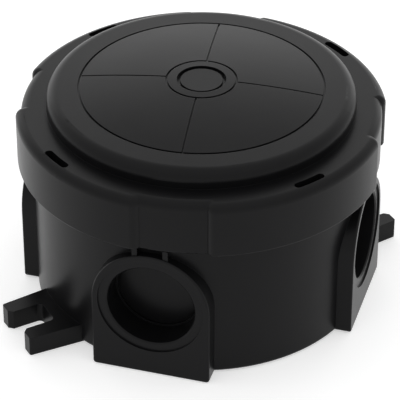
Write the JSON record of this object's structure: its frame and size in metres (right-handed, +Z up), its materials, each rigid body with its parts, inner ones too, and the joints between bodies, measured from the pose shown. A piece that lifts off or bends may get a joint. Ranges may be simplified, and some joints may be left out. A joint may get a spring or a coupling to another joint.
{
  "type": "round junction box",
  "caption": "Round surface junction box with a twist lid, blind knock-out entries in arched bosses, slotted fixing lugs and a screw terminal strip inside.",
  "frame": {"origin": "centre of the base's underside", "axes": "+Z up along the axis of the lid, -Y out of the front entry, +X out of the right entry"},
  "size_m": [0.0838, 0.0838, 0.0535],
  "materials": {
    "box_plastic": "satin black moulding",
    "lid_plastic": "satin black moulding",
    "seal_rubber": "soft dark rubber",
    "terminal_plastic": "milky natural polyamide",
    "brass": "drawn, slightly dull",
    "screw_steel": "zinc plated"
  },
  "bodies": {
    "box": {"base": "box_plastic", "terminal_housing": "terminal_plastic", "terminal_tube_1": "brass", "terminal_tube_2": "brass", "terminal_tube_3": "brass", "terminal_tube_4": "brass", "terminal_tube_5": "brass", "clamp_screw_1": "screw_steel", "clamp_screw_2": "screw_steel", "clamp_screw_3": "screw_steel", "clamp_screw_4": "screw_steel", "clamp_screw_5": "screw_steel", "clamp_screw_6": "screw_steel", "clamp_screw_7": "screw_steel", "clamp_screw_8": "screw_steel", "clamp_screw_9": "screw_steel", "clamp_screw_10": "screw_steel", "fixing_screw_1": "screw_steel", "fixing_screw_2": "screw_steel"},
    "seal": {"lid_seal": "seal_rubber"},
    "lid": {"lid": "lid_plastic"}
  },
  "joints": [
    {"name": "lid_rise", "type": "slide", "parent": "box", "child": "seal", "axis": [0, 0, 1], "range_m": [0, 0.0012]},
    {"name": "lid_turn", "type": "hinge", "parent": "seal", "child": "lid", "pos_m": [0, 0, 0.041], "axis": [0, 0, 1], "range_deg": [0, 45]}
  ],
  "couplings": [
    {"joint": "lid_rise", "follows": "lid_turn", "m_per_rad": 0.001527}
  ]
}
